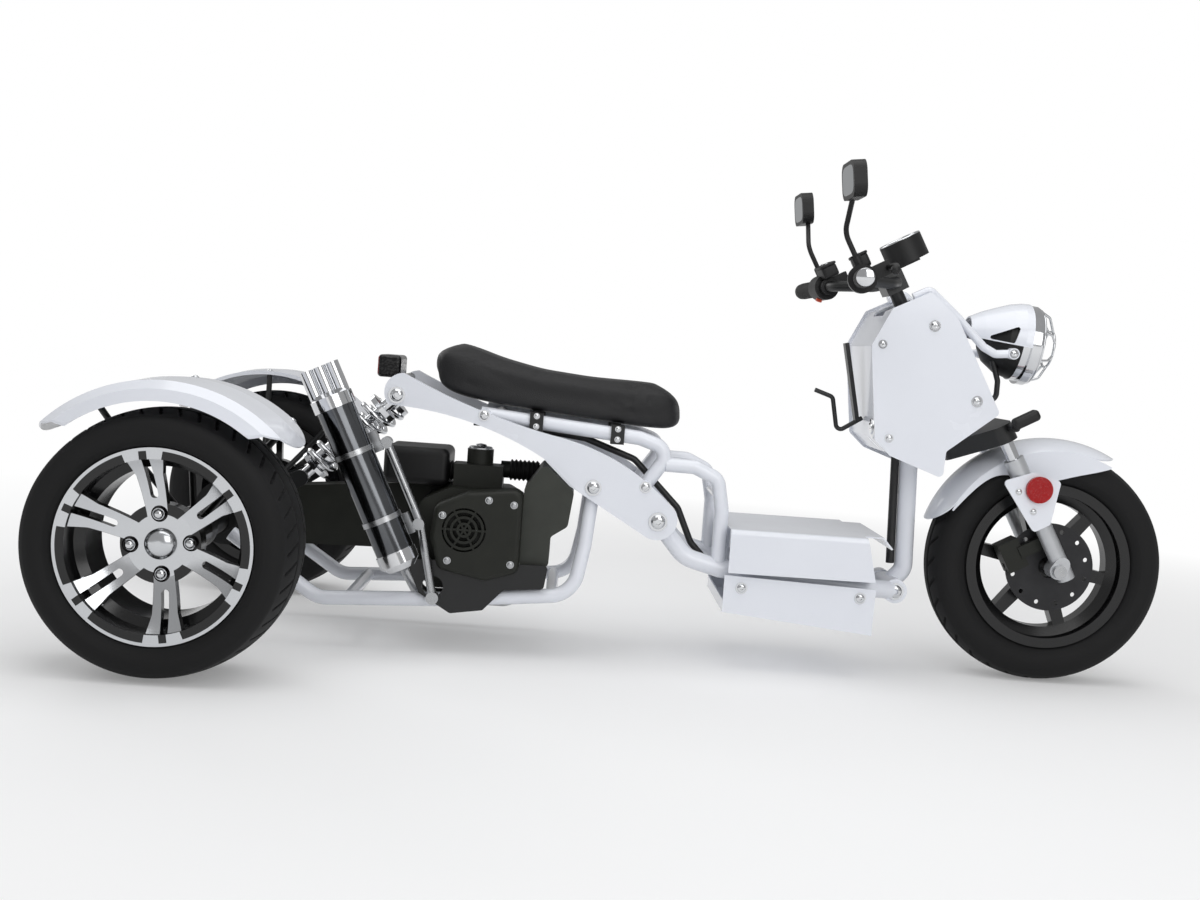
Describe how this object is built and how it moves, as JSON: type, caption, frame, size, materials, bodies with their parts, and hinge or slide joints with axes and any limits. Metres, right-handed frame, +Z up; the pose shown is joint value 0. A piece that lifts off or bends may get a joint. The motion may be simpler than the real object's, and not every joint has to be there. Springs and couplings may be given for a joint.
{
  "type": "trike scooter",
  "caption": "Low open-framed motor trike with a raked steered fork, long seat, mid engine with side exhaust and wide fendered rear wheels.",
  "frame": {"origin": "on the ground under the middle of the machine's length and width", "axes": "+X forward, +Y to the rider's left, +Z up"},
  "size_m": [2.1148, 1.1, 0.9766],
  "materials": {
    "white_paint": "gloss white powder coat",
    "black_vinyl": "grained black vinyl",
    "black_steel": "satin black paint",
    "black_plastic": "moulded black",
    "grip_rubber": "ribbed black",
    "tail_lamp_red": "clear red",
    "bright_chrome": "polished",
    "lamp_glass": "clear",
    "cast_alloy": "as cast",
    "bare_steel": "plated",
    "red_reflector": "prismatic red",
    "tyre_rubber": "black",
    "black_wheel": "gloss black",
    "machined_wheel": "machined face on gloss black"
  },
  "bodies": {
    "frame": {"main_frame": "white_paint", "floor_frame": "white_paint", "seat_frame": "white_paint", "side_arms": "white_paint", "cradle_rail_right": "white_paint", "cradle_rail_left": "white_paint", "cradle_cross_tubes": "white_paint", "floorboard": "white_paint", "battery_box": "white_paint", "seat": "black_vinyl", "seat_clamps": "black_steel", "front_body": "white_paint", "body_panels": "white_paint", "headlight_bracket": "white_paint", "headlight_bowl": "black_plastic", "headlight_bezel": "bright_chrome", "headlight_cowl": "white_paint", "headlight_lens": "lamp_glass", "headlight_guard": "bright_chrome", "headlight_stay": "black_steel", "bag_hook": "black_steel", "wiring_looms": "black_plastic", "engine_case": "cast_alloy", "fan_cowl": "black_plastic", "cylinder_cowl": "black_plastic", "belt_case": "cast_alloy", "carburettor": "cast_alloy", "air_box": "black_plastic", "engine_guard": "black_steel", "muffler": "bright_chrome", "exhaust_pipe": "bare_steel", "muffler_hanger": "bare_steel", "rear_shocks": "bright_chrome", "rear_axle_housing": "black_steel", "rear_fender_right": "white_paint", "rear_fender_left": "white_paint", "fender_stays": "black_steel", "tail_lamp": "tail_lamp_red"},
    "steering": {"fork_yoke": "black_steel", "fork_stanchions": "bright_chrome", "fork_sliders": "cast_alloy", "fork_brackets": "white_paint", "reflectors": "red_reflector", "front_fender": "white_paint", "front_axle": "bare_steel", "front_caliper": "cast_alloy", "handlebar": "bare_steel", "grips": "grip_rubber", "control_pods": "black_plastic", "mirrors": "black_plastic", "gauge": "black_plastic", "front_indicators": "black_plastic"},
    "front_wheel": {"front_tyre": "tyre_rubber", "front_rim": "black_wheel", "front_brake_disc": "bare_steel"},
    "rear_wheel_right": {"rear_tyre_right": "tyre_rubber", "rear_rim_right": "machined_wheel"},
    "rear_wheel_left": {"rear_tyre_left": "tyre_rubber", "rear_rim_left": "machined_wheel"}
  },
  "joints": [
    {"name": "steering", "type": "hinge", "parent": "frame", "child": "steering", "pos_m": [0.56063, 0, 0.61223], "axis": [-0.4848, 0, 0.8746], "range_deg": [-40, 40]},
    {"name": "front_wheel_spin", "type": "hinge", "parent": "steering", "child": "front_wheel", "pos_m": [0.821, 0, 0.2365], "axis": [0, 1, 0], "continuous": true},
    {"name": "rear_wheel_right_spin", "type": "hinge", "parent": "frame", "child": "rear_wheel_right", "pos_m": [-0.829, -0.4425, 0.2285], "axis": [0, 1, 0], "continuous": true},
    {"name": "rear_wheel_left_spin", "type": "hinge", "parent": "frame", "child": "rear_wheel_left", "pos_m": [-0.829, 0.4425, 0.2285], "axis": [0, 1, 0], "continuous": true}
  ]
}
